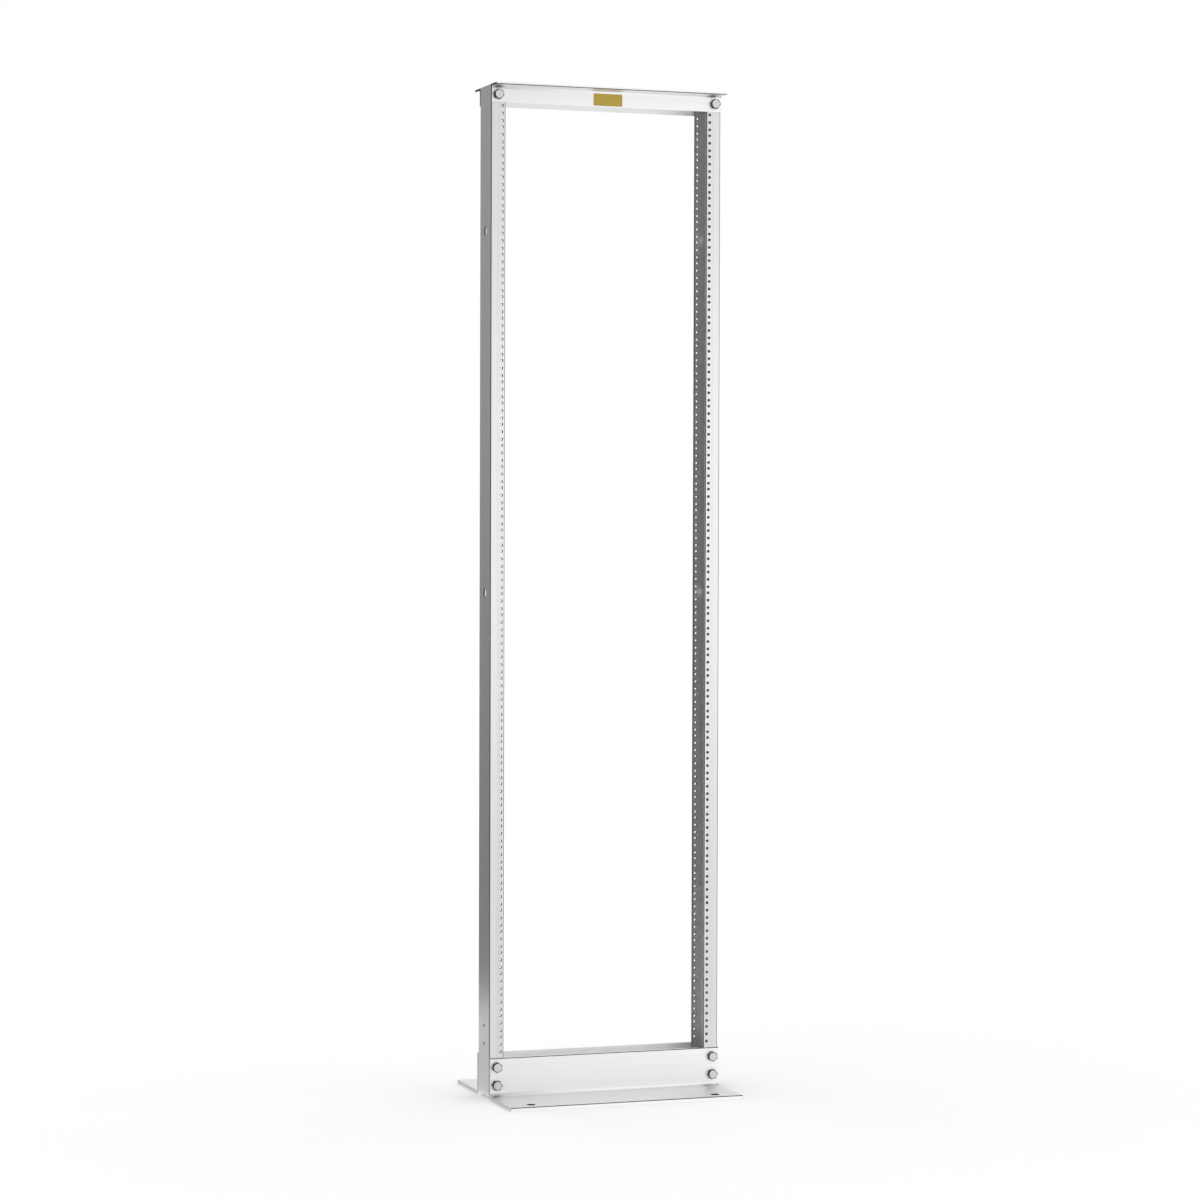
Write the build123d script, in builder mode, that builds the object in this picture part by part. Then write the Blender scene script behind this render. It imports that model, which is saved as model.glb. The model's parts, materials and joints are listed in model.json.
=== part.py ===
"""Two post open frame rack for 19 inch equipment, 7 ft high, in natural aluminium.

Two extruded channels stand with their webs outwards and their flanges turned in towards the opening. A pair
of small angles ties them at the top, and a pair of large angles carries them on the floor. X runs across the
rack, the front faces -Y, and the origin lies on the floor below the middle of the frame.
"""

import os

from build123d import *

os.makedirs("parts", exist_ok=True)

INCH = 25.4

# The channel that both uprights are cut from
channel_depth = 3 * INCH
flange_width = 1.25 * INCH
flange_thickness = 3 / 16 * INCH
web_thickness = 1 / 8 * INCH
channel_inner_radius = 1 / 16 * INCH
channel_outer_radius = 1 / 32 * INCH

# Top angles, with one leg flat on the flanges and the shelf turned outwards at the very top
top_leg = 1.5 * INCH
top_shelf = 1.5 * INCH
top_thickness = 3 / 16 * INCH
top_root_radius = 3 / 16 * INCH

# Base angles, with one leg flat on the flanges and the foot turned outwards on the floor
base_leg = 3.5 * INCH
base_foot = 6 * INCH
base_thickness = 5 / 16 * INCH
base_root_radius = 1 / 4 * INCH

# Rounding of the free inner edges of all four angles
toe_radius = 1 / 32 * INCH

# Equipment space: the clear opening between the posts, and the rack units stacked above the base leg
opening_width = 17.75 * INCH
rack_unit = 1.75 * INCH
unit_count = 45
unit_clearance = 1 / 4 * INCH

# Equipment holes, three to a rack unit, tapped through the front and the rear flange
column_from_tip = 9 / 32 * INCH
lowest_hole = 1 / 4 * INCH
hole_pitch = 5 / 8 * INCH
thread_radius = 5.5 / 2
thread_sides = 4

# The whole frame, which the base angles hold a little clear of the floor
rack_width = opening_width + 2 * flange_width
rack_height = base_leg + unit_clearance + unit_count * rack_unit + top_leg
floor_gap = 1 / 4 * INCH

# Bolts that join the angles to the uprights
bolt_hole_radius = 9 / 32 * INCH
bolt_sides = 8
bolt_from_end = 0.575 * INCH
bolt_above_floor = 1.25 * INCH
bolt_from_leg_edge = 0.75 * INCH

# Holes on the middle line of each web
cable_hole_radius = 3 / 8 * INCH
cable_hole_drop = 12 * INCH
ground_hole_radius = 9 / 64 * INCH
ground_hole_sides = 8
lowest_ground_hole = 4.5 * INCH
ground_hole_pitch = 1.5 * INCH

# Floor anchor holes, two in each foot
anchor_hole_radius = 23 / 64 * INCH
anchor_from_end = 2.0625 * INCH
anchor_from_edge = 1.1 * INCH

column_x = opening_width / 2 + column_from_tip
bolt_x = rack_width / 2 - bolt_from_end
anchor_x = rack_width / 2 - anchor_from_end
anchor_y = channel_depth / 2 + base_foot - anchor_from_edge
base_bolt_heights = (bolt_above_floor, base_leg - bolt_from_leg_edge)
top_bolt_height = rack_height - (top_thickness + top_leg) / 2
cable_hole_heights = (rack_height / 2, rack_height - cable_hole_drop)
ground_hole_heights = (lowest_ground_hole, lowest_ground_hole + ground_hole_pitch)


def equipment_hole_height(unit, hole):
    """Height of one of the three holes, 0 to 2, of a rack unit, counted from 0 at the lowest."""
    return base_leg + unit_clearance + unit * rack_unit + lowest_hole + hole * hole_pitch


# The outer holes of the lowest unit are true cylinders. The others, more than five hundred in all, have only
# a few flat sides each, which touch the thread's circle.
round_heights = [equipment_hole_height(0, hole) for hole in (0, 2)]
sided_heights = [equipment_hole_height(0, 1)]
sided_heights += [equipment_hole_height(unit, hole) for unit in range(1, unit_count) for hole in range(3)]


def channel_section(side):
    """The C section of the upright on one side, -1 or 1, with its web outermost."""
    web_outside = side * rack_width / 2
    web_inside = side * (rack_width / 2 - web_thickness)
    flange_tip = side * opening_width / 2
    face_y = channel_depth / 2
    inner_y = channel_depth / 2 - flange_thickness
    with BuildSketch(Plane.XY.offset(floor_gap)) as section:
        with BuildLine():
            Polyline(
                (web_outside, -face_y),
                (web_outside, face_y),
                (flange_tip, face_y),
                (flange_tip, inner_y),
                (web_inside, inner_y),
                (web_inside, -inner_y),
                (flange_tip, -inner_y),
                (flange_tip, -face_y),
                close=True,
            )
        make_face()
        fillet(section.vertices().group_by(Axis.X)[1], radius=channel_inner_radius)
        corner_rows = section.vertices().group_by(Axis.X)
        fillet(corner_rows[0] + corner_rows[-1], radius=channel_outer_radius)
    return section.sketch


def angle_section(facing, heel_z, rise, leg, shelf, thickness, root_radius):
    """The L section of an angle whose leg lies on the flanges that face one way, -1 or 1.

    The leg runs from the heel up or down, as rise is 1 or -1, and the shelf turns outwards from the heel.
    """
    heel_y = facing * channel_depth / 2
    leg_face_y = heel_y + facing * thickness
    toe_y = heel_y + facing * shelf
    shelf_face_z = heel_z + rise * thickness
    leg_end_z = heel_z + rise * leg
    with BuildSketch(Plane.YZ.offset(-rack_width / 2)) as section:
        with BuildLine():
            Polyline(
                (heel_y, heel_z),
                (heel_y, leg_end_z),
                (leg_face_y, leg_end_z),
                (leg_face_y, shelf_face_z),
                (toe_y, shelf_face_z),
                (toe_y, heel_z),
                close=True,
            )
        make_face()
        root = section.vertices().sort_by_distance((leg_face_y, shelf_face_z))[0]
        fillet(root, radius=root_radius)
        leg_toe = section.vertices().sort_by_distance((leg_face_y, leg_end_z))[0]
        shelf_toe = section.vertices().sort_by_distance((toe_y, shelf_face_z))[0]
        fillet([leg_toe, shelf_toe], radius=toe_radius)
    return section.sketch


# Uprights: drilled from the rear face through both flanges, then through the web
for name, side in (("left_upright", -1), ("right_upright", 1)):
    with BuildPart() as upright:
        extrude(channel_section(side), amount=rack_height - floor_gap)
        with BuildSketch(Plane.XZ.offset(-channel_depth / 2)):
            with Locations([(side * column_x, height) for height in round_heights]):
                Circle(thread_radius)
            with Locations([(side * column_x, height) for height in sided_heights]):
                RegularPolygon(thread_radius, thread_sides, major_radius=False)
            with Locations([(side * bolt_x, height) for height in (*base_bolt_heights, top_bolt_height)]):
                RegularPolygon(bolt_hole_radius, bolt_sides, major_radius=False)
        extrude(amount=channel_depth, mode=Mode.SUBTRACT)
        with BuildSketch(Plane.YZ):
            with Locations([(0, height) for height in cable_hole_heights]):
                Circle(cable_hole_radius)
            with Locations([(0, height) for height in ground_hole_heights]):
                RegularPolygon(ground_hole_radius, ground_hole_sides, major_radius=False)
        extrude(amount=side * rack_width / 2, mode=Mode.SUBTRACT)
    upright.part.label = name
    export_step(upright.part, f"parts/{name}.step")

# Top angles: one bolt at each end
for name, facing in (("front_top_angle", -1), ("rear_top_angle", 1)):
    with BuildPart() as top_angle:
        section = angle_section(
            facing, rack_height, -1, top_leg, top_shelf, top_thickness, top_root_radius
        )
        extrude(section, amount=rack_width)
        with BuildSketch(Plane.XZ):
            with Locations([(side * bolt_x, top_bolt_height) for side in (-1, 1)]):
                RegularPolygon(bolt_hole_radius, bolt_sides, major_radius=False)
        extrude(amount=-facing * channel_depth, mode=Mode.SUBTRACT)
    top_angle.part.label = name
    export_step(top_angle.part, f"parts/{name}.step")

# Base angles: two bolts one above the other at each end, and the anchor holes in the foot
for name, facing in (("front_base_angle", -1), ("rear_base_angle", 1)):
    with BuildPart() as base_angle:
        section = angle_section(
            facing, 0, 1, base_leg, base_foot, base_thickness, base_root_radius
        )
        extrude(section, amount=rack_width)
        with BuildSketch(Plane.XZ):
            with Locations([(side * bolt_x, height) for side in (-1, 1) for height in base_bolt_heights]):
                RegularPolygon(bolt_hole_radius, bolt_sides, major_radius=False)
        extrude(amount=-facing * channel_depth, mode=Mode.SUBTRACT)
        with BuildSketch(Plane.XY):
            with Locations([(side * anchor_x, facing * anchor_y) for side in (-1, 1)]):
                Circle(anchor_hole_radius)
        extrude(amount=base_thickness, mode=Mode.SUBTRACT)
    base_angle.part.label = name
    export_step(base_angle.part, f"parts/{name}.step")
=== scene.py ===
# %% [markdown]
# # A two post open frame rack
# Two aluminium channels stand on angle feet and carry network equipment between them. The shape comes from a
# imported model, which this lesson loads as a fixed frame. Blender's share is the look: the tapped holes, the
# bolts, the finish of the metal, the light and the camera. Each step first says what the piece is on the real
# rack and how it could be made.

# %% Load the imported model
import json
import math

import bmesh
import bpy
from mathutils import Matrix, Vector


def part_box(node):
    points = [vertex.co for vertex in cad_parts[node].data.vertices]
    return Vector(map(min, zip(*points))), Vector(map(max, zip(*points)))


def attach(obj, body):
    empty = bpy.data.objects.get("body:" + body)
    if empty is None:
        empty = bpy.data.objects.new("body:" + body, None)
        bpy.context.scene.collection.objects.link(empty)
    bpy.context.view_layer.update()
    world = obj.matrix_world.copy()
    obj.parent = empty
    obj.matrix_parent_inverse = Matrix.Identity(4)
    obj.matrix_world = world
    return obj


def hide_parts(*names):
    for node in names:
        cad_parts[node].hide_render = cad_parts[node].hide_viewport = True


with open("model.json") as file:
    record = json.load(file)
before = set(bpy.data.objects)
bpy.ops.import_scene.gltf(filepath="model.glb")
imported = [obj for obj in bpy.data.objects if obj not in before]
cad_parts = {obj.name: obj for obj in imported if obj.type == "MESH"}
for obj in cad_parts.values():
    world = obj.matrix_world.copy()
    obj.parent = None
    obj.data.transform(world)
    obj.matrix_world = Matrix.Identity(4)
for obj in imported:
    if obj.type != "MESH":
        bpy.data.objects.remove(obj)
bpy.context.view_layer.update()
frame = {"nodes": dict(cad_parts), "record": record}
mounts = {mount["name"]: mount for mount in frame["record"]["mounts"]}
print("nodes:", sorted(frame["nodes"]))

# %% [markdown]
# ## Millimetres and inches
# The rack follows an inch standard, Blender works in metres, and some mesh operators round off very small
# sizes. So every piece is modelled in millimetres and shrunk to metres once it is whole. Whatever the packed
# model knows is read from it: its boxes give the uprights' outline, and its mounts give the holes.

# %% Units, and the sizes read from the model
MM = 0.001
INCH = 25.4

low, high = (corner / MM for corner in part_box("right_upright"))
flange_tip, web_outside = low.x, high.x
upright_bottom, upright_top = low.z, high.z
face_y = high.y
flange_thickness = 3 / 16 * INCH
web_thickness = 1 / 8 * INCH

unit_mount = mounts["front_holes_lowest_unit"]
rack_unit = 1.75 * INCH
hole_pitch = unit_mount["dims"]["spacing_y_mm"] / 2
column_x = unit_mount["dims"]["spacing_x_mm"] / 2
first_hole = unit_mount["pos_m"][2] / MM - hole_pitch
thread_radius = unit_mount["dims"]["hole_r_mm"]
unit_count = int((upright_top - first_hole) // rack_unit)
print(f"{unit_count} rack units, hole columns {2 * column_x:.2f} mm apart")

# %% [markdown]
# ## Writing shader maths as Python
# A procedural finish is mostly arithmetic on noise. Wiring Math nodes by hand hides the formula, so a small
# class wraps an output socket, and Python's own operators add the nodes. Every other node comes from one
# method of the tree that holds it.

# %% Expressions that build node trees
class Signal:
    """An output socket in a node tree. Arithmetic with it adds Math nodes."""

    def __init__(self, tree, socket):
        self.tree, self.socket = tree, socket

    def _math(self, operation, first, second):
        return self.tree.node("ShaderNodeMath", {"operation": operation}, {0: first, 1: second})

    def __add__(self, other):
        return self._math("ADD", self, other)

    def __radd__(self, other):
        return self._math("ADD", other, self)

    def __sub__(self, other):
        return self._math("SUBTRACT", self, other)

    def __rsub__(self, other):
        return self._math("SUBTRACT", other, self)

    def __mul__(self, other):
        return self._math("MULTIPLY", self, other)

    def __rmul__(self, other):
        return self._math("MULTIPLY", other, self)

    def __abs__(self):
        return self.tree.node("ShaderNodeMath", {"operation": "ABSOLUTE"}, {0: self})

    def ramp(self, start, end, low=0.0, high=1.0):
        """Turns smoothly from low to high as the signal goes from start to end."""
        return self.tree.node("ShaderNodeMapRange", {"interpolation_type": "SMOOTHSTEP"}, {
            "Value": self, "From Min": start, "From Max": end, "To Min": low, "To Max": high,
        })


class Tree:
    """The emptied node tree of a material or a world."""

    def __init__(self, owner):
        owner.use_nodes = True
        self.nodes, self.links = owner.node_tree.nodes, owner.node_tree.links
        self.nodes.clear()

    def node(self, kind, settings=None, inputs=None, output=0):
        """Adds a node: its settings first, then the values or links of its sockets."""
        node = self.nodes.new(kind)
        for name, value in (settings or {}).items():
            setattr(node, name, value)
        for name, value in (inputs or {}).items():
            if isinstance(value, Signal):
                self.links.new(value.socket, node.inputs[name])
            else:
                node.inputs[name].default_value = value
        return Signal(self, node.outputs[output]) if len(node.outputs) else node

    def mix(self, factor, first, second):
        """One colour turning into another as the factor goes from 0 to 1."""
        return self.node("ShaderNodeMix", {"data_type": "RGBA"}, {0: factor, 6: first, 7: second}, output=2)

    def noise(self, place, scale, detail=2.0, roughness=0.5, stretch=(1.0, 1.0, 1.0)):
        """Noise from 0 to 1. A larger scale has a finer grain, and a small stretch draws it out."""
        drawn = self.node("ShaderNodeMapping", None, {"Vector": place, "Scale": stretch})
        return self.node("ShaderNodeTexNoise", None, {
            "Vector": drawn, "Scale": scale, "Detail": detail, "Roughness": roughness,
        })


def grey(level, tint=0.0):
    """An opaque grey, a little bluer where the tint is above 0."""
    return (level * (1 - tint), level, level * (1 + tint), 1.0)


print("shader helpers ready")

# %% [markdown]
# ## Natural aluminium
# The posts and angles are extrusions with no paint or anodising. The die leaves fine lines and broader bands
# along their whole length, the metal dulls unevenly, and handling leaves short scuffs. The sawn ends keep the
# saw's marks and are painted near black, as painted shade, except on the base angles near the floor, where
# they are painted lighter, as painted light from the floor. The tops of the feet are painted darker, as
# painted shade. Brushed metal could be drawn with an anisotropic shader, but that socket takes no pattern
# here, so the lines are stretched noise that moves the colour, the roughness and a very shallow bump. They are
# drawn out along X on the angles, which lie across the rack, and along Z on the posts.

# %% The aluminium finish
DIE_LINE_SCALE = 900.0
DIE_BAND_SCALE = 170.0
DIE_STRETCH = 0.003
BAND_LIMITS = (0.35, 0.65)
CLOUD_SCALE = 7.0
SCUFF_SCALE = 160.0
SCUFF_STRETCH = 0.08
SCUFF_LIMITS = (0.60, 0.72)
SAW_MARK_SCALE = 1300.0
SAW_MARK_STRETCH = 0.02
COOL_TINT = 0.003
# Painted shade on the sawn ends, and painted light from the floor on the ends near it.
END_SHADE_LEVELS = (0.02, 0.14)
FLOOR_LIGHT_LEVELS = (0.55, 0.80)
FLOOR_LIGHT_HEIGHT = 0.1
# Painted shade on the tops of the feet, below this height.
FOOT_HEIGHT = 0.02
TOP_SHADE_SHARE = 0.86
LINE_SHADE, BAND_SHADE, CLOUD_SHADE, SCUFF_SHADE = 0.45, 0.25, 0.25, 0.3
LINE_DULLING, WEAR_DULLING = 0.08, 0.10
SCUFF_DEPTH, SAW_MARK_DEPTH = 0.5, 2
RELIEF_STRENGTH, RELIEF_DEPTH = 0.25, 0.00008
FACING_LIMITS = (0.90, 0.98)


def aluminium(name, along, dark, bright, dullness):
    """Extruded aluminium whose die lines run along the axis 0 or 2, and whose sawn ends face along it."""
    material = bpy.data.materials.new(name)
    tree = Tree(material)
    place = tree.node("ShaderNodeTexCoord", output="Object")
    normal = tree.node("ShaderNodeTexCoord", output="Normal")
    facing = tree.node("ShaderNodeSeparateXYZ", None, {"Vector": normal}, output=along)
    upward = tree.node("ShaderNodeSeparateXYZ", None, {"Vector": normal}, output="Z")
    drawn_out = [DIE_STRETCH if axis == along else 1.0 for axis in range(3)]
    half_drawn = [SCUFF_STRETCH if axis == along else 1.0 for axis in range(3)]
    die_lines = tree.noise(place, DIE_LINE_SCALE, detail=3.0, roughness=0.6, stretch=drawn_out)
    die_bands = tree.noise(place, DIE_BAND_SCALE, stretch=drawn_out).ramp(*BAND_LIMITS)
    clouds = tree.noise(place, CLOUD_SCALE, detail=5.0, roughness=0.6)
    scuffs = tree.noise(place, SCUFF_SCALE, stretch=half_drawn)
    worn = scuffs.ramp(*SCUFF_LIMITS) * clouds
    saw_marks = tree.noise(place, SAW_MARK_SCALE, stretch=(1.0, SAW_MARK_STRETCH, 1.0))
    sawn = abs(facing).ramp(*FACING_LIMITS)
    shade = die_lines * LINE_SHADE + die_bands * BAND_SHADE + clouds * CLOUD_SHADE + worn * SCUFF_SHADE
    height = tree.node("ShaderNodeSeparateXYZ", None, {"Vector": place}, output="Z")
    # Painted shade: the tops of the feet are darker.
    shaded_top = upward.ramp(*FACING_LIMITS) * height.ramp(FOOT_HEIGHT, 2 * FOOT_HEIGHT, 1.0, 0.0)
    base_tone_colour = tree.mix(shade, grey(dark, COOL_TINT), grey(bright, COOL_TINT))
    shaded_top_colour = tree.mix(shade, grey(dark * TOP_SHADE_SHARE), grey(bright * TOP_SHADE_SHARE))
    drawn_colour = tree.mix(shaded_top, base_tone_colour, shaded_top_colour)
    # Painted shade on the sawn ends, and painted light from the floor on those near it.
    floor_lit = height.ramp(FLOOR_LIGHT_HEIGHT, 2 * FLOOR_LIGHT_HEIGHT, 1.0, 0.0)
    shaded_end_colour = tree.mix(saw_marks, *[grey(level) for level in END_SHADE_LEVELS])
    floor_lit_colour = tree.mix(saw_marks, *[grey(level) for level in FLOOR_LIGHT_LEVELS])
    sawn_colour = tree.mix(floor_lit, shaded_end_colour, floor_lit_colour)
    colour = tree.mix(sawn, drawn_colour, sawn_colour)
    roughness = (
        dullness + die_lines * LINE_DULLING
        + clouds * WEAR_DULLING + worn * WEAR_DULLING + sawn * WEAR_DULLING
    )
    relief = die_lines + worn * SCUFF_DEPTH + sawn * (saw_marks * SAW_MARK_DEPTH - die_lines)
    bump = tree.node("ShaderNodeBump", None, {
        "Strength": RELIEF_STRENGTH, "Distance": RELIEF_DEPTH, "Height": relief,
    })
    shader = tree.node("ShaderNodeBsdfPrincipled", None, {
        "Base Color": colour, "Metallic": 1.0, "Roughness": roughness, "Normal": bump,
    })
    tree.node("ShaderNodeOutputMaterial", None, {"Surface": shader})
    print("finish:", name)
    return material


post_aluminium = aluminium("post_aluminium", along=2, dark=0.63, bright=0.83, dullness=0.24)
angle_aluminium = aluminium("angle_aluminium", along=0, dark=0.90, bright=1.0, dullness=0.34)

# %% [markdown]
# ## Walls of the holes
# The equipment holes are tapped, and their threads are painted near black, as painted shade, so the holes
# read as dark dots. Modelling five hundred threads would cost far more triangles than they are worth. The
# holes run along Y, so a sine of Y gives the bump its crests, one per turn of the thread. The drill leaves
# rings of the same kind, but finer and shallower, in the plain holes, which run along X in the webs and along
# Z in the feet. Their walls are painted dark too, as painted shade, those in the feet as dark as the tapped
# ones.

# %% The finish inside the holes
THREAD_PITCH = INCH / 24 * MM
DRILL_PITCH = 0.35 * MM
THREAD_RELIEF = 0.0003
DRILL_RELIEF = 0.00003
STAIN_SCALE = 400.0
RING_SHADE, STAIN_SHADE = 0.25, 0.8


def ringed(name, axis, pitch, relief, dark, bright, metallic):
    """Cut metal with rings around an axis, one to a pitch, in dark colours that stand for the shade inside a
    hole.
    """
    material = bpy.data.materials.new(name)
    tree = Tree(material)
    place = tree.node("ShaderNodeTexCoord", output="Object")
    along = tree.node("ShaderNodeSeparateXYZ", None, {"Vector": place}, output=axis)
    crests = tree.node("ShaderNodeMath", {"operation": "SINE"}, {0: along * (2 * math.pi / pitch)})
    stains = tree.noise(place, STAIN_SCALE)
    colour = tree.mix(crests * RING_SHADE + stains * STAIN_SHADE, grey(dark), grey(bright))
    bump = tree.node("ShaderNodeBump", None, {"Strength": 0.8, "Distance": relief, "Height": crests})
    shader = tree.node("ShaderNodeBsdfPrincipled", None, {
        "Base Color": colour, "Metallic": metallic, "Roughness": 0.5, "Specular IOR Level": 0.15,
        "Normal": bump,
    })
    tree.node("ShaderNodeOutputMaterial", None, {"Surface": shader})
    print("finish:", name)
    return material


# The dark colours of all three walls are painted shade.
tapped_thread = ringed(
    "tapped_thread", "Y", THREAD_PITCH, THREAD_RELIEF, dark=0.005, bright=0.03, metallic=0.0
)
drilled_web = ringed("drilled_web", "X", DRILL_PITCH, DRILL_RELIEF, dark=0.08, bright=0.30, metallic=1.0)
drilled_foot = ringed("drilled_foot", "Z", DRILL_PITCH, DRILL_RELIEF, dark=0.005, bright=0.03, metallic=0.0)

# %% [markdown]
# ## Zinc, brass and painted shade
# The bolts are steel with a pale, slightly blue zinc plate that is smoother than the aluminium and a little
# blotchy. The sides of their heads are painted near black, as painted shade. The small plate on the top angle
# is satin brass, kept blank. The rounded corners of the extrusions get a dark, dull finish of their own, as
# painted shade, which draws a fine dark line along each piece.

# %% The small finishes
BLOTCH_SCALE = 240.0
GRAIN_SCALE = 2600.0


def plated(name, dull, bright, smooth, rough):
    """A plated metal that is blotchy between two colours and two roughnesses."""
    material = bpy.data.materials.new(name)
    tree = Tree(material)
    place = tree.node("ShaderNodeTexCoord", output="Object")
    blotches = tree.noise(place, BLOTCH_SCALE, detail=4.0, roughness=0.6)
    grain = tree.noise(place, GRAIN_SCALE)
    bump = tree.node("ShaderNodeBump", None, {"Strength": 0.15, "Distance": 0.00005, "Height": grain})
    shader = tree.node("ShaderNodeBsdfPrincipled", None, {
        "Base Color": tree.mix(blotches, dull, bright), "Metallic": 1.0,
        "Roughness": smooth + blotches * (rough - smooth), "Normal": bump,
    })
    tree.node("ShaderNodeOutputMaterial", None, {"Surface": shader})
    print("finish:", name)
    return material


zinc = plated("zinc_plate", grey(0.46, 0.03), grey(0.86, 0.02), smooth=0.20, rough=0.38)
# Painted shade: the near black zinc on the sides of the bolt heads.
dull_zinc = plated("dull_zinc", grey(0.02, 0.02), grey(0.16, 0.02), smooth=0.30, rough=0.50)
# Painted shade: the dark finish on the rounded corners of the extrusions.
dull_corner = plated("dull_corner", grey(0.05), grey(0.17), smooth=0.35, rough=0.50)
tarnished_brass, clean_brass = (0.40, 0.26, 0.045, 1.0), (0.56, 0.42, 0.11, 1.0)
brass = plated("satin_brass", tarnished_brass, clean_brass, smooth=0.30, rough=0.46)

# %% [markdown]
# ## From a working mesh to a piece
# Every piece ends the same way: scaled to metres, faces turned outwards, and shaded. A face that looks
# straight along an axis is flat. All other faces belong to a round or a hole, so they are smooth, and edges
# sharper than the limit stay crisp. Flat faces then never pick up the bent normals of a fillet beside them.

# %% Finishing helper
SHARP_ANGLE = math.radians(35)
SQUARE_ON = 0.9999


def finish_piece(bm, name, slot, *materials):
    """Turns a working mesh in millimetres into a piece that rides on the frame."""
    bmesh.ops.scale(bm, vec=(MM, MM, MM), verts=bm.verts)
    bmesh.ops.recalc_face_normals(bm, faces=bm.faces)
    for face in bm.faces:
        face.smooth = max(abs(part) for part in face.normal) < SQUARE_ON
    for edge in bm.edges:
        edge.smooth = len(edge.link_faces) == 2 and edge.calc_face_angle() < SHARP_ANGLE
    open_edges = sum(len(edge.link_faces) != 2 for edge in bm.edges)
    print(f"{name}: {len(bm.faces)} faces, {open_edges} open edges")
    mesh = bpy.data.meshes.new(name)
    bm.to_mesh(mesh)
    bm.free()
    for material in materials:
        mesh.materials.append(material)
    piece = bpy.data.objects.new(name, mesh)
    bpy.context.scene.collection.objects.link(piece)
    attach(piece, "root")
    return piece


# %% [markdown]
# ## Extruding a section
# The posts are channels and the ties are angles, all cut from aluminium that was pressed through a die. Both
# are made the way the press makes them: the section is drawn as a flat face, its corners are rounded by a
# vertex bevel, and the face is extruded along the piece. The saw leaves a small deburred edge at both ends.
# The outer corners are found by their convex edges, and the wider ones get a dark finish as painted shade.

# %% Section helpers
DEBURRED = 0.3
LARGE_RADIUS = 2.0
ROUNDED_LIMIT = 0.999
TOWARDS_LIMIT = 0.9
# The wider rounded outer corners get painted shade.
CORNER_SHADE_WIDTH = 0.25
CORNER_SHADE_SLOT, HOLE, PLAIN_HOLE = 1, 2, 3


def each_once(items):
    """The items without repeats, in a fixed order. A set's order would change the mesh from run to run."""
    return list(dict.fromkeys(items))


def draw_section(bm, points, radii):
    """Draws a closed section and rounds each corner by its own radius, in millimetres."""
    corners = [bm.verts.new(point) for point in points]
    bm.faces.new(corners)
    for corner, radius in zip(corners, radii):
        segments = 8 if radius > LARGE_RADIUS else 4
        bmesh.ops.bevel(
            bm, geom=[corner], offset=radius, segments=segments, profile=0.5, affect="VERTICES", material=-1
        )


def extrude_section(bm, along, length):
    """Extrudes the drawn section along the axis 0 or 2, and deburrs the sawn edges."""
    raised = bmesh.ops.extrude_face_region(bm, geom=bm.faces[:])["geom"]
    travel = Vector([length if axis == along else 0 for axis in range(3)])
    bmesh.ops.translate(bm, vec=travel, verts=[v for v in raised if isinstance(v, bmesh.types.BMVert)])
    bmesh.ops.recalc_face_normals(bm, faces=bm.faces)
    for face in bm.faces:
        lengthwise = [edge for edge in face.edges if edge.calc_length() > length / 2]
        rounded = max(abs(part) for part in face.normal) < ROUNDED_LIMIT
        wide_enough = face.calc_area() > CORNER_SHADE_WIDTH * length
        # Wide rounded outer corners get the painted shade.
        if rounded and wide_enough and all(edge.is_convex for edge in lengthwise):
            face.material_index = CORNER_SHADE_SLOT
    ends = [f for f in bm.faces if abs(f.normal[along]) > TOWARDS_LIMIT]
    sawn_edges = each_once(edge for f in ends for edge in f.edges)
    bmesh.ops.bevel(
        bm, geom=sawn_edges, offset=DEBURRED, segments=2, profile=0.5, affect="EDGES", material=-1
    )


print("section helpers ready")

# %% [markdown]
# ## Drilling without a boolean
# A boolean with hundreds of cutters leaves long crooked faces. It is cleaner to make the wall of each hole
# first: a line with two chamfers, spun round the hole's axis. Then the flat face is taken away and filled
# again between its outline and the rims that lie in it.

# %% Hole walls and pierced faces
SLACK = 0.001


def hole_wall(bm, near, far, radius, near_chamfer, far_chamfer, segments, material):
    """The wall of a round hole from one point to another, with a chamfer at both rims."""
    near, far = Vector(near), Vector(far)
    axis = (far - near).normalized()
    out = axis.orthogonal().normalized()
    profile = [
        near + out * (radius + near_chamfer), near + axis * near_chamfer + out * radius,
        far - axis * far_chamfer + out * radius, far + out * (radius + far_chamfer),
    ]
    verts = [bm.verts.new(point) for point in profile]
    edges = [bm.edges.new(pair) for pair in zip(verts, verts[1:])]
    before = set(bm.faces)
    bmesh.ops.spin(
        bm, geom=verts + edges, cent=near, axis=axis, angle=2 * math.pi, steps=segments, use_merge=True
    )
    wall = [face for face in bm.faces if face not in before]
    for face in wall:
        face.material_index = material
    return wall


def pierce(bm, face):
    """Fills a flat face again around the rims that lie in it, and returns the faces now in its place."""
    low = [min(v.co[axis] for v in face.verts) - SLACK for axis in range(3)]
    high = [max(v.co[axis] for v in face.verts) + SLACK for axis in range(3)]
    rims = [
        edge for edge in bm.edges if edge.is_boundary and edge not in face.edges[:]
        and all(low[axis] < v.co[axis] < high[axis] for v in edge.verts for axis in range(3))
    ]
    if not rims:
        return [face]
    outline, normal = face.edges[:], face.normal.copy()
    bmesh.ops.delete(bm, geom=[face], context="FACES_ONLY")
    filled = bmesh.ops.triangle_fill(bm, use_beauty=True, edges=outline + rims, normal=normal)["geom"]
    return [item for item in filled if isinstance(item, bmesh.types.BMFace)]


print("drilling helpers ready")

# %% [markdown]
# ## A rack unit as the pattern
# Every rack unit has three tapped holes, 5/8, 5/8 and 1/2 inch apart, through the front and the rear flange.
# So the flanges are cut across at every rack unit, only the lowest unit is drilled and filled, and that one
# is copied up the post. Fills of a few holes are also far neater than one fill around all of them.

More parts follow.
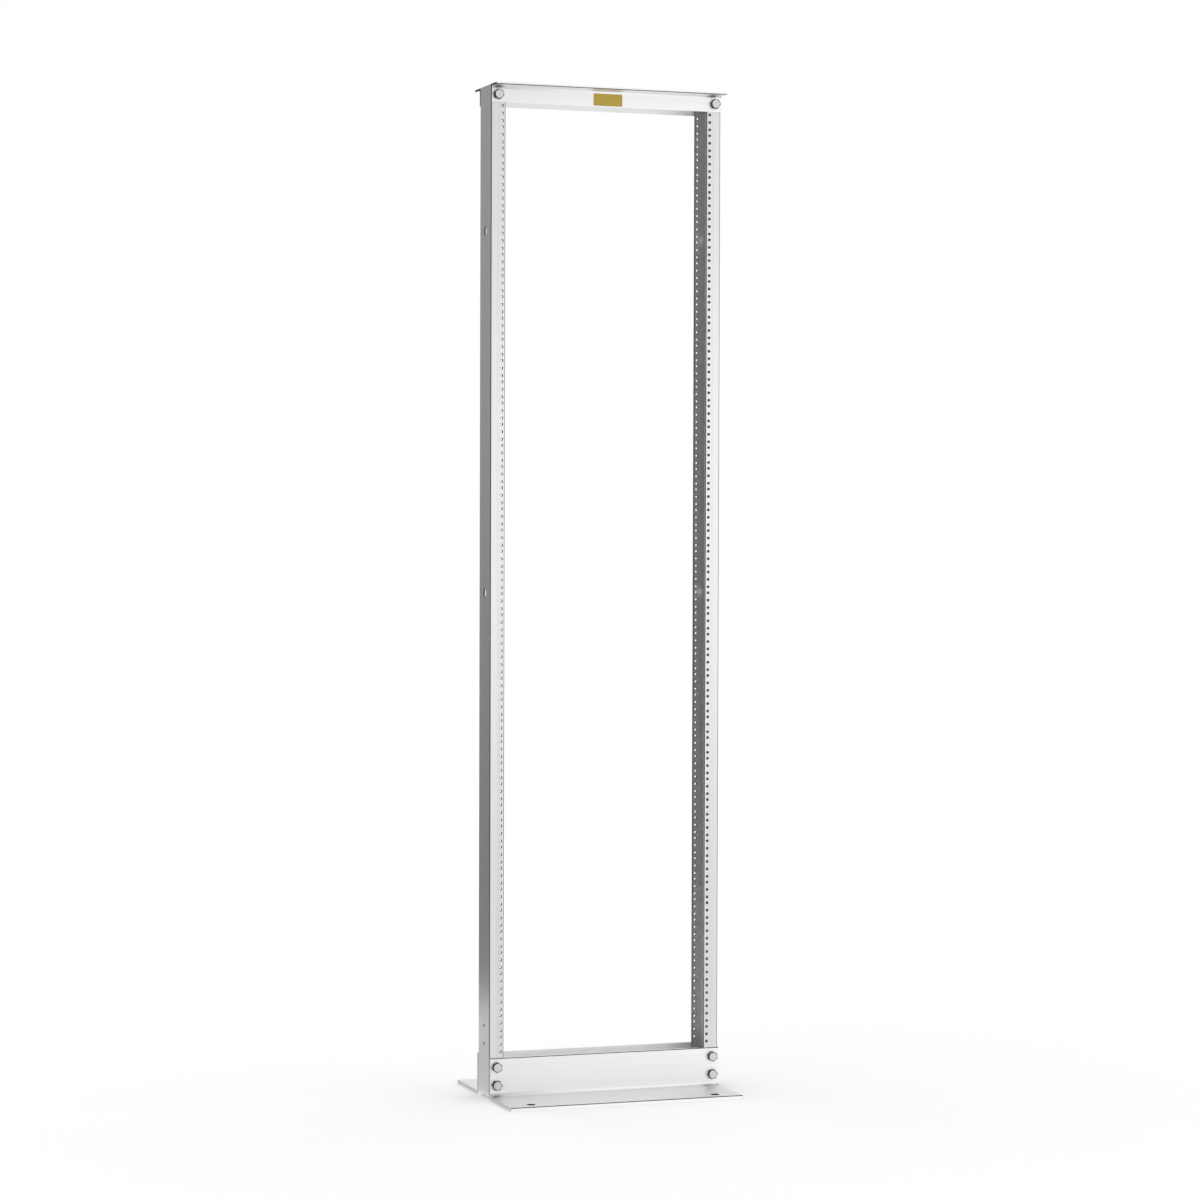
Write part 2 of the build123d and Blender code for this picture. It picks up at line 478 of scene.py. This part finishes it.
# %% Rows and copies
def cut_across(bm, faces, heights):
    """Cuts upright faces into rows at some heights, and returns the rows."""
    rows = list(faces)
    for height in heights:
        geometry = each_once(item for face in rows for item in (face, *face.edges, *face.verts))
        cut = bmesh.ops.bisect_plane(
            bm, geom=geometry, dist=SLACK, plane_co=(0, 0, height), plane_no=(0, 0, 1)
        )
        rows = [item for item in cut["geom"] if isinstance(item, bmesh.types.BMFace)]
    return rows


def repeat_upwards(bm, faces, step, count):
    """Copies faces up the post until there are count of them, a step apart, and returns them all."""
    geometry = each_once(item for face in faces for item in (face, *face.edges, *face.verts))
    repeated = list(faces)
    for number in range(1, count):
        copy = bmesh.ops.duplicate(bm, geom=geometry)["geom"]
        risen = [item for item in copy if isinstance(item, bmesh.types.BMVert)]
        bmesh.ops.translate(bm, vec=(0, 0, number * step), verts=risen)
        repeated += [item for item in copy if isinstance(item, bmesh.types.BMFace)]
    return repeated


print("pattern helpers ready")

# %% [markdown]
# ## The drilled posts
# Besides the equipment holes, bolt holes join the post to the angles, two large holes in the web carry a
# cable manager, and two small ones near the floor take an earthing lug. A tapped hole is only as wide as the
# crests of its thread, and its countersink, on the side where the screw enters, is wider than the whole
# thread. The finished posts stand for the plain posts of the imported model.

# %% Make both posts
CHANNEL_ROOT_RADIUS = 1 / 16 * INCH
CHANNEL_CORNER_RADIUS = 1 / 16 * INCH
CREST_RADIUS = 2.45
COUNTERSINK = 0.75
TAPPED_SEGMENTS = 20
PLAIN_SEGMENTS = 40
PLAIN_CHAMFER = 0.3
WIDE_FACE = 10.0
MERGE_DISTANCE = 0.01
LOWEST_HOLE = 1 / 4 * INCH
BOLT_FROM_END = 0.575 * INCH
BOLT_DROP = (3 / 16 + 1.5) / 2 * INCH
GROUND_HOLE_RADIUS = 9 / 64 * INCH
GROUND_HOLE_HEIGHTS = (4.5 * INCH, 6.0 * INCH)

bolt_radius = 9 / 32 * INCH
bolt_x = web_outside - BOLT_FROM_END
base_bolt_heights = (1.25 * INCH, 2.75 * INCH)
top_bolt_height = upright_top - BOLT_DROP
cable_mount = mounts["left_cable_holes"]
cable_middle = cable_mount["pos_m"][2] / MM
cable_reach = cable_mount["dims"]["spacing_y_mm"] / 2
web_holes = [(cable_middle + way * cable_reach, cable_mount["dims"]["hole_r_mm"]) for way in (-1, 1)]
web_holes += [(height, GROUND_HOLE_RADIUS) for height in GROUND_HOLE_HEIGHTS]
row_limits = [first_hole - LOWEST_HOLE + number * rack_unit for number in range(unit_count + 1)]


def channel(side):
    """The plain channel of the upright on one side, -1 or 1, in millimetres."""
    bm = bmesh.new()
    web_inside = web_outside - web_thickness
    inner_y = face_y - flange_thickness
    section = [
        (web_outside, -face_y), (web_outside, face_y), (flange_tip, face_y), (flange_tip, inner_y),
        (web_inside, inner_y), (web_inside, -inner_y), (flange_tip, -inner_y), (flange_tip, -face_y),
    ]
    radii = [CHANNEL_CORNER_RADIUS] * 4 + [CHANNEL_ROOT_RADIUS] * 2 + [CHANNEL_CORNER_RADIUS] * 2
    draw_section(bm, [(side * x, y, upright_bottom) for x, y in section], radii)
    extrude_section(bm, 2, upright_top - upright_bottom)
    return bm


def drilled_post(name, side):
    """One upright with all its holes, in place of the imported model's."""
    bm = channel(side)
    wide = [f for f in bm.faces if f.calc_area() > WIDE_FACE * (upright_top - upright_bottom)]
    webs = [f for f in wide if abs(f.normal.x) > TOWARDS_LIMIT]
    rows = cut_across(bm, [f for f in wide if f not in webs], row_limits)
    in_units = [f for f in rows if row_limits[0] < f.calc_center_median().z < row_limits[-1]]
    ends = [f for f in rows if f not in in_units]
    lowest = [f for f in in_units if f.calc_center_median().z < row_limits[1]]
    bmesh.ops.delete(bm, geom=[f for f in in_units if f not in lowest], context="FACES_ONLY")
    unit = []
    for facing in (-1, 1):
        outer_y, inner_y = facing * face_y, facing * (face_y - flange_thickness)
        near, far = (side * column_x, outer_y, first_hole), (side * column_x, inner_y, first_hole)
        inner_chamfer = thread_radius - CREST_RADIUS
        wall = hole_wall(bm, near, far, CREST_RADIUS, COUNTERSINK, inner_chamfer, TAPPED_SEGMENTS, HOLE)
        unit += repeat_upwards(bm, wall, hole_pitch, 3)
        for height in (*base_bolt_heights, top_bolt_height):
            near, far = (side * bolt_x, outer_y, height), (side * bolt_x, inner_y, height)
            hole_wall(bm, near, far, bolt_radius, PLAIN_CHAMFER, PLAIN_CHAMFER, PLAIN_SEGMENTS, PLAIN_HOLE)
    for height, radius in web_holes:
        near, far = (side * web_outside, 0, height), (side * (web_outside - web_thickness), 0, height)
        hole_wall(bm, near, far, radius, PLAIN_CHAMFER, PLAIN_CHAMFER, PLAIN_SEGMENTS, PLAIN_HOLE)
    for face in lowest:
        unit += pierce(bm, face)
    for face in ends + webs:
        pierce(bm, face)
    repeat_upwards(bm, unit, rack_unit, unit_count)
    bmesh.ops.remove_doubles(bm, verts=bm.verts, dist=MERGE_DISTANCE)
    materials = (post_aluminium, dull_corner, tapped_thread, drilled_web)
    post = finish_piece(bm, f"{name}_drilled", "natural_aluminium", *materials)
    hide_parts(name)


drilled_post("left_upright", -1)
drilled_post("right_upright", 1)

# %% [markdown]
# ## The four angles
# Two small angles tie the posts at the top, and two large ones carry them on the floor. Their length, and the
# reach of both legs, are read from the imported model. The root between the legs has a generous fillet, the
# free inner edges are lightly rounded, and each foot has two holes for floor anchors.

# %% Make the angles
TOE_RADIUS = 1 / 16 * INCH
EDGE_RADIUS = 0.4
TOP_ROOT_RADIUS = 3 / 16 * INCH
BASE_ROOT_RADIUS = 1 / 4 * INCH
ANCHOR_CHAMFER = 0.4

anchor_mount = mounts["floor_anchor_holes"]
anchor_x = anchor_mount["dims"]["spacing_x_mm"] / 2
anchor_y = anchor_mount["dims"]["spacing_y_mm"] / 2
anchor_radius = anchor_mount["dims"]["hole_r_mm"]
base_thickness = 5 / 16 * INCH
top_thickness = 3 / 16 * INCH


def drilled_angle(name, facing, thickness, root_radius, bolt_heights, has_anchors):
    """One angle with its holes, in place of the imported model's. Its leg faces -Y or Y: facing is -1 or 1."""
    low, high = (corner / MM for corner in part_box(name))
    heel_y, toe_y = (high.y, low.y) if facing < 0 else (low.y, high.y)
    heel_z, leg_end_z, rise = (low.z, high.z, 1) if has_anchors else (high.z, low.z, -1)
    leg_y, shelf_z = heel_y + facing * thickness, heel_z + rise * thickness
    section = [
        (heel_y, heel_z), (heel_y, leg_end_z), (leg_y, leg_end_z),
        (leg_y, shelf_z), (toe_y, shelf_z), (toe_y, heel_z),
    ]
    bm = bmesh.new()
    leg_toe_radius = TOE_RADIUS if has_anchors else EDGE_RADIUS
    radii = [EDGE_RADIUS, EDGE_RADIUS, leg_toe_radius, root_radius, TOE_RADIUS, EDGE_RADIUS]
    draw_section(bm, [(low.x, y, z) for y, z in section], radii)
    extrude_section(bm, 0, high.x - low.x)
    wide = [f for f in bm.faces if f.calc_area() > WIDE_FACE * (high.x - low.x)]
    for side in (-1, 1):
        for height in bolt_heights:
            near, far = (side * bolt_x, leg_y, height), (side * bolt_x, heel_y, height)
            hole_wall(bm, near, far, bolt_radius, PLAIN_CHAMFER, PLAIN_CHAMFER, PLAIN_SEGMENTS, HOLE)
        if has_anchors:
            x, y = side * anchor_x, facing * anchor_y
            near, far = (x, y, shelf_z), (x, y, heel_z)
            hole_wall(bm, near, far, anchor_radius, ANCHOR_CHAMFER, ANCHOR_CHAMFER, PLAIN_SEGMENTS, HOLE)
    for face in wide:
        pierce(bm, face)
    materials = (angle_aluminium, dull_corner, drilled_foot)
    angle = finish_piece(bm, f"{name}_drilled", "natural_aluminium", *materials)
    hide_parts(name)


for facing, end in ((-1, "front"), (1, "rear")):
    drilled_angle(f"{end}_top_angle", facing, top_thickness, TOP_ROOT_RADIUS, [top_bolt_height], False)
    drilled_angle(f"{end}_base_angle", facing, base_thickness, BASE_ROOT_RADIUS, base_bolt_heights, True)

# %% [markdown]
# ## Rings and lofts for the bolts
# A bolt is a stack of rings: circles for the thread, shank and washer face, and a hexagon for the head. When
# every ring has the same number of points, neighbouring rings can be bridged into one closed skin. The
# hexagon's six sides are subdivided, and its top rim is lowered in proportion to its distance from the
# centre. That is what the turning tool does to a real head, and it gives each flat its curved upper edge.

# %% Ring and loft helpers
RING_POINTS = 48
CHAMFER_SLOPE = math.tan(math.radians(30))


def circle_ring(bm, radius, z):
    """The edges of a circle round the Z axis."""
    raised = Matrix.Translation((0, 0, z))
    made = bmesh.ops.create_circle(bm, radius=radius, segments=RING_POINTS, matrix=raised)
    return each_once(edge for v in made["verts"] for edge in v.link_edges)


def hexagon_ring(bm, across_flats, z, chamfer_radius=None, fall=-1):
    """The edges of a hexagon whose points beyond the chamfer's circle fall away along Z."""
    raised = Matrix.Translation((0, 0, z)) @ Matrix.Rotation(math.radians(30), 4, "Z")
    radius = across_flats / math.sqrt(3)
    corners = bmesh.ops.create_circle(bm, radius=radius, segments=6, matrix=raised)["verts"]
    sides = each_once(edge for v in corners for edge in v.link_edges)
    split = bmesh.ops.subdivide_edges(bm, edges=sides, cuts=RING_POINTS // 6 - 1)["geom_split"]
    ring = [item for item in split if isinstance(item, bmesh.types.BMEdge)]
    if chamfer_radius:
        for v in each_once(v for edge in ring for v in edge.verts):
            v.co.z += fall * max(0.0, v.co.xy.length - chamfer_radius) * CHAMFER_SLOPE
    return ring


def loft(bm, rings, closed=False):
    """Bridges rings that follow each other, and closes the skin by joining its ends or by capping them."""
    followers = rings[1:] + rings[:1] if closed else rings[1:]
    for ring, follower in zip(rings, followers):
        bmesh.ops.bridge_loops(bm, edges=ring + follower)
    if not closed:
        bmesh.ops.edgeloop_fill(bm, edges=rings[0] + rings[-1])


print("ring helpers ready")

# %% [markdown]
# ## Bolts and nuts
# Twelve half inch hex bolts hold the frame together: two at each end of a base angle and one at each end of a
# top angle. The head lies on the angle's leg, and the nut sits inside the channel with a flat towards the
# web, because its corners would foul the web's root. The thread is drawn as rings, which at this size look
# the same as a helix and keep the skin closed. The sides of the head are painted near black, as painted
# shade, and every head is turned a little further than the one before, because no two bolts stop alike.

# %% Make the bolts and nuts
BOLT_RADIUS = 1 / 4 * INCH
ACROSS_FLATS = 3 / 4 * INCH
WASHER_FACE = 0.36 * INCH
WASHER_RISE = 0.4
HEAD_FLAT = 0.335 * INCH
HEAD_HEIGHT = 5 / 16 * INCH
NUT_HEIGHT = 7 / 16 * INCH
COARSE_PITCH = INCH / 13
THREAD_DEPTH = 1.0
POINT_CHAMFER = 1.2
SHOWN_THREAD = 4.5
FLAT_TOP = 0.95
SIDE_SHADE_SLOT = 1


def bolt(bm, grip):
    """A hex bolt along Z, with its head above z = 0 and its thread reaching through the grip and the nut."""
    end = -(grip + NUT_HEIGHT + SHOWN_THREAD)
    turns = int((SHOWN_THREAD + NUT_HEIGHT - POINT_CHAMFER) / COARSE_PITCH)
    rings = [circle_ring(bm, BOLT_RADIUS - POINT_CHAMFER, end)]
    for turn in range(turns):
        crest = end + POINT_CHAMFER + turn * COARSE_PITCH
        rings.append(circle_ring(bm, BOLT_RADIUS, crest))
        rings.append(circle_ring(bm, BOLT_RADIUS - THREAD_DEPTH, crest + COARSE_PITCH / 2))
    rings += [
        circle_ring(bm, BOLT_RADIUS, end + POINT_CHAMFER + turns * COARSE_PITCH),
        circle_ring(bm, BOLT_RADIUS, 0),
        circle_ring(bm, WASHER_FACE, 0),
        circle_ring(bm, WASHER_FACE, WASHER_RISE),
        hexagon_ring(bm, ACROSS_FLATS, WASHER_RISE),
        hexagon_ring(bm, ACROSS_FLATS, HEAD_HEIGHT, HEAD_FLAT),
        circle_ring(bm, HEAD_FLAT, HEAD_HEIGHT),
    ]
    loft(bm, rings)
    bm.normal_update()
    # The sides of the head get painted shade.
    for face in bm.faces:
        if face.calc_center_median().z > 0 and abs(face.normal.z) < FLAT_TOP:
            face.material_index = SIDE_SHADE_SLOT


def nut(bm, grip):
    """The hex nut that closes the grip from below."""
    near, far = -grip, -grip - NUT_HEIGHT
    rings = [
        circle_ring(bm, BOLT_RADIUS, near),
        circle_ring(bm, WASHER_FACE, near),
        hexagon_ring(bm, ACROSS_FLATS, near, WASHER_FACE, fall=-1),
        hexagon_ring(bm, ACROSS_FLATS, far, WASHER_FACE, fall=1),
        circle_ring(bm, WASHER_FACE, far),
        circle_ring(bm, BOLT_RADIUS, far),
    ]
    loft(bm, rings, closed=True)


def fasten(place, side, facing, height, leg_thickness, turn):
    """Puts a bolt with its nut through an angle's leg and the flange behind it."""
    out_of_leg = Matrix.Rotation(-facing * math.pi / 2, 4, "X")
    seat = Matrix.Translation((side * bolt_x, facing * (face_y + leg_thickness), height))
    for part, make, angle in (("bolt", bolt, turn), ("nut", nut, 0.0)):
        bm = bmesh.new()
        make(bm, leg_thickness + flange_thickness)
        bmesh.ops.transform(bm, matrix=seat @ out_of_leg @ Matrix.Rotation(angle, 4, "Z"), verts=bm.verts)
        finish_piece(bm, f"{place}_{part}", "zinc_plated_steel", zinc, dull_zinc)


TURN_STEP, HEXAGON_TURN = 23, 60
side_names = {-1: "left", 1: "right"}
facing_names = {-1: "front", 1: "rear"}
bolted_places = [
    ("base_lower", base_bolt_heights[0], base_thickness),
    ("base_upper", base_bolt_heights[1], base_thickness),
    ("top", top_bolt_height, top_thickness),
]
count = 0
for facing in (-1, 1):
    for side in (-1, 1):
        for level, height, leg_thickness in bolted_places:
            place = f"{facing_names[facing]}_{side_names[side]}_{level}"
            turn = math.radians(TURN_STEP * count % HEXAGON_TURN)
            fasten(place, side, facing, height, leg_thickness, turn)
            count += 1
print(count, "bolts with nuts")

# %% [markdown]
# ## The blank plate
# A small brass plate sits in the middle of the front top angle. It is a thin sheet with rounded corners, and
# a raised rim makes it more than a plain rectangle. An inset makes the rim, and its inner face is then pushed
# in.

# %% Make the plate
PLATE_WIDTH = 2.5 * INCH
PLATE_HEIGHT = 1.0 * INCH
PLATE_THICKNESS = 0.8
PLATE_CORNER = 1.2
PLATE_DROP = 0.92 * INCH
RIM_WIDTH = 1.1
RIM_RISE = 0.3

bm = bmesh.new()
half = Vector((PLATE_WIDTH / 2, 0, PLATE_HEIGHT / 2))
plate_y = -(face_y + top_thickness)
centre = Vector((0, plate_y, upright_top - PLATE_DROP))
outline = [centre + Vector((x * half.x, 0, z * half.z)) for x, z in ((-1, -1), (1, -1), (1, 1), (-1, 1))]
draw_section(bm, outline, [PLATE_CORNER] * 4)
front = bmesh.ops.extrude_face_region(bm, geom=bm.faces[:])["geom"]
moved = [v for v in front if isinstance(v, bmesh.types.BMVert)]
bmesh.ops.translate(bm, vec=(0, -PLATE_THICKNESS, 0), verts=moved)
face = next(item for item in front if isinstance(item, bmesh.types.BMFace))
bmesh.ops.inset_region(bm, faces=[face], thickness=RIM_WIDTH, depth=0)
bmesh.ops.inset_region(bm, faces=[face], thickness=RIM_RISE, depth=-RIM_RISE)
finish_piece(bm, "blank_plate", "brass_plate", brass)
print("plate made")

# %% [markdown]
# ## Floor and background
# The rack stands on a plain white floor in front of white. Near the rack the floor is a lit white surface, so
# it keeps the soft shadows under the feet. Farther off it turns into plain white for rays from the camera, so
# it meets the white world with no line. Shiny metal mirrors the floor as plain white too.

# %% The stage
SHADOW_REACH = 0.8
FLOOR_REACH = 30
FLOOR_LEVEL = 0.95


def stage_piece(bm, name, surface):
    """Links a mesh that belongs to the studio, not to the rack, and gives it its material."""
    mesh = bpy.data.meshes.new(name)
    bm.to_mesh(mesh)
    bm.free()
    mesh.materials.append(surface)
    holder = bpy.data.objects.new(name, mesh)
    bpy.context.scene.collection.objects.link(holder)
    return holder


paper = bpy.data.materials.new("white_floor")
tree = Tree(paper)
place = tree.node("ShaderNodeTexCoord", output="Object")
distance = tree.node("ShaderNodeVectorMath", {"operation": "LENGTH"}, {0: place}, output="Value")
far_off = distance.ramp(SHADOW_REACH, 2 * SHADOW_REACH)
kinds = ("Is Camera Ray", "Is Glossy Ray", "Is Transmission Ray")
seen, mirrored, seen_through = [tree.node("ShaderNodeLightPath", output=kind) for kind in kinds]
lit = tree.node("ShaderNodeBsdfDiffuse", None, {"Color": grey(FLOOR_LEVEL)})
plain = tree.node("ShaderNodeEmission", None, {"Color": grey(1.0), "Strength": 1.0})
share = seen * far_off + mirrored + seen_through
surface = tree.node("ShaderNodeMixShader", None, {0: share, 1: lit, 2: plain})
tree.node("ShaderNodeOutputMaterial", None, {"Surface": surface})
bm = bmesh.new()
bmesh.ops.create_grid(bm, x_segments=1, y_segments=1, size=FLOOR_REACH)
stage_piece(bm, "floor", paper)

world = bpy.data.worlds.new("studio")
bpy.context.scene.world = world
tree = Tree(world)
light = tree.node("ShaderNodeBackground", None, {"Color": grey(1.0), "Strength": 1.0})
tree.node("ShaderNodeOutputWorld", None, {"Surface": light})
print("stage set")

# %% [markdown]
# ## Dark cards for the metal
# Bare metal only shows what surrounds it. In an all white studio every face would be equally bright and the
# posts would lose their form, so a photographer stands dark cards around the metal. Each card is an upright
# line spun part of the way round the rack. The webs mirror the grey ones at the sides, while the flanges
# mirror the white in front. The black one beside the camera shows only in the corners and in the sides of the
# bolts. One more lies on the floor at the left, for the lower end of the web there. The camera doesn't see
# the cards.

# %% The cards
CARD_DISTANCE = 1.3
CARD_TOP = 3.2
CARD_STEPS = 12
GLOW_HEIGHT = 2.0
FLOOR_CARD_HALF = 0.5
FLOOR_CARD_PLACE = (-0.78, 0.40, 0.001)


def glow(name, low_level, high_level):
    """A finish that gives off one grey at the floor and turns into another at the glow's height."""
    finish = bpy.data.materials.new(name)
    tree = Tree(finish)
    place = tree.node("ShaderNodeTexCoord", output="Object")
    height = tree.node("ShaderNodeSeparateXYZ", None, {"Vector": place}, output="Z")
    level = tree.mix(height.ramp(0.0, GLOW_HEIGHT), grey(low_level), grey(high_level))
    shine = tree.node("ShaderNodeEmission", None, {"Color": level, "Strength": 1.0})
    tree.node("ShaderNodeOutputMaterial", None, {"Surface": shine})
    return finish


def only_mirrored(holder):
    """Hides a card from everything but shiny surfaces."""
    holder.visible_camera = holder.visible_diffuse = holder.visible_shadow = False


def card(name, first, last, bottom, low_level, high_level):
    """A curved card from one bearing to another, in degrees round from +X, and from one grey to another."""
    bm = bmesh.new()
    edge = [bm.verts.new((CARD_DISTANCE, 0, z)) for z in (bottom, CARD_TOP)]
    upright_edge = bm.edges.new(edge)
    bmesh.ops.rotate(bm, cent=(0, 0, 0), matrix=Matrix.Rotation(math.radians(first), 3, "Z"), verts=edge)
    bmesh.ops.spin(
        bm, geom=edge + [upright_edge], cent=(0, 0, 0), axis=(0, 0, 1), angle=math.radians(last - first),
        steps=CARD_STEPS, use_merge=False
    )
    only_mirrored(stage_piece(bm, name, glow(name, low_level, high_level)))


card("grey_card_left", 108, 241, bottom=0.03, low_level=0.22, high_level=0.36)
card("black_card_camera", 241, 259, bottom=0.0, low_level=0.02, high_level=0.02)
card("grey_card_right", -18, 40, bottom=0.06, low_level=0.20, high_level=0.30)
bm = bmesh.new()
spot = Matrix.Translation(FLOOR_CARD_PLACE)
bmesh.ops.create_grid(bm, x_segments=1, y_segments=1, size=FLOOR_CARD_HALF, matrix=spot)
only_mirrored(stage_piece(bm, "floor_card_left", glow("floor_card_left", low_level=0.70, high_level=0.70)))
print("cards placed")

# %% [markdown]
# ## Lamps
# A large softbox in front on the right gives the faces that look forwards their even, bright sheen, because
# they mirror it. A second one behind only lights the floor and softens the shadow.

# %% Softboxes
def softbox(name, place, aim, width, height, power):
    """A rectangular area lamp that points from its place to its aim."""
    lamp = bpy.data.lights.new(name, "AREA")
    lamp.shape = "RECTANGLE"
    lamp.size, lamp.size_y, lamp.energy = width, height, power
    holder = bpy.data.objects.new(name, lamp)
    bpy.context.scene.collection.objects.link(holder)
    holder.location = place
    holder.rotation_euler = (Vector(aim) - Vector(place)).to_track_quat("-Z", "Y").to_euler()
    return holder


softbox("front_softbox", place=(1.0, -2.85, 1.25), aim=(0, 0, 1.2), width=2.6, height=1.4, power=4.0)
rear_softbox = softbox(
    "rear_softbox", place=(-1.0, 3.2, 3.0), aim=(0, 0, 1.0), width=2.0, height=1.4, power=15
)
rear_softbox.visible_glossy = False
print("lamps placed")

# %% [markdown]
# ## The camera
# The camera's place and turn were worked out from where the hole columns and the corners of the feet lie in
# the picture, with the rack's real sizes. It stands low and to the left, far away, with a long lens.

# %% Place the camera
CAMERA_PLACE = Vector((-93.76, -268.68, 47.46)) * INCH * MM
YAW, PITCH, ROLL = math.radians(19.24), math.radians(-1.221), math.radians(0.165)
FRAME_PIXELS = 1200
FOCAL_PIXELS = 3387.4

camera = bpy.data.cameras.new("camera")
camera.lens = camera.sensor_width * FOCAL_PIXELS / FRAME_PIXELS
holder = bpy.data.objects.new("camera", camera)
bpy.context.scene.collection.objects.link(holder)
holder.matrix_world = (
    Matrix.Translation(CAMERA_PLACE)
    @ Matrix.Rotation(-YAW, 4, "Z")
    @ Matrix.Rotation(math.pi / 2 + PITCH, 4, "X")
    @ Matrix.Rotation(ROLL, 4, "Z")
)
bpy.context.scene.camera = holder
bpy.context.scene.view_settings.view_transform = "Standard"
print(f"lens {camera.lens:.1f} mm")
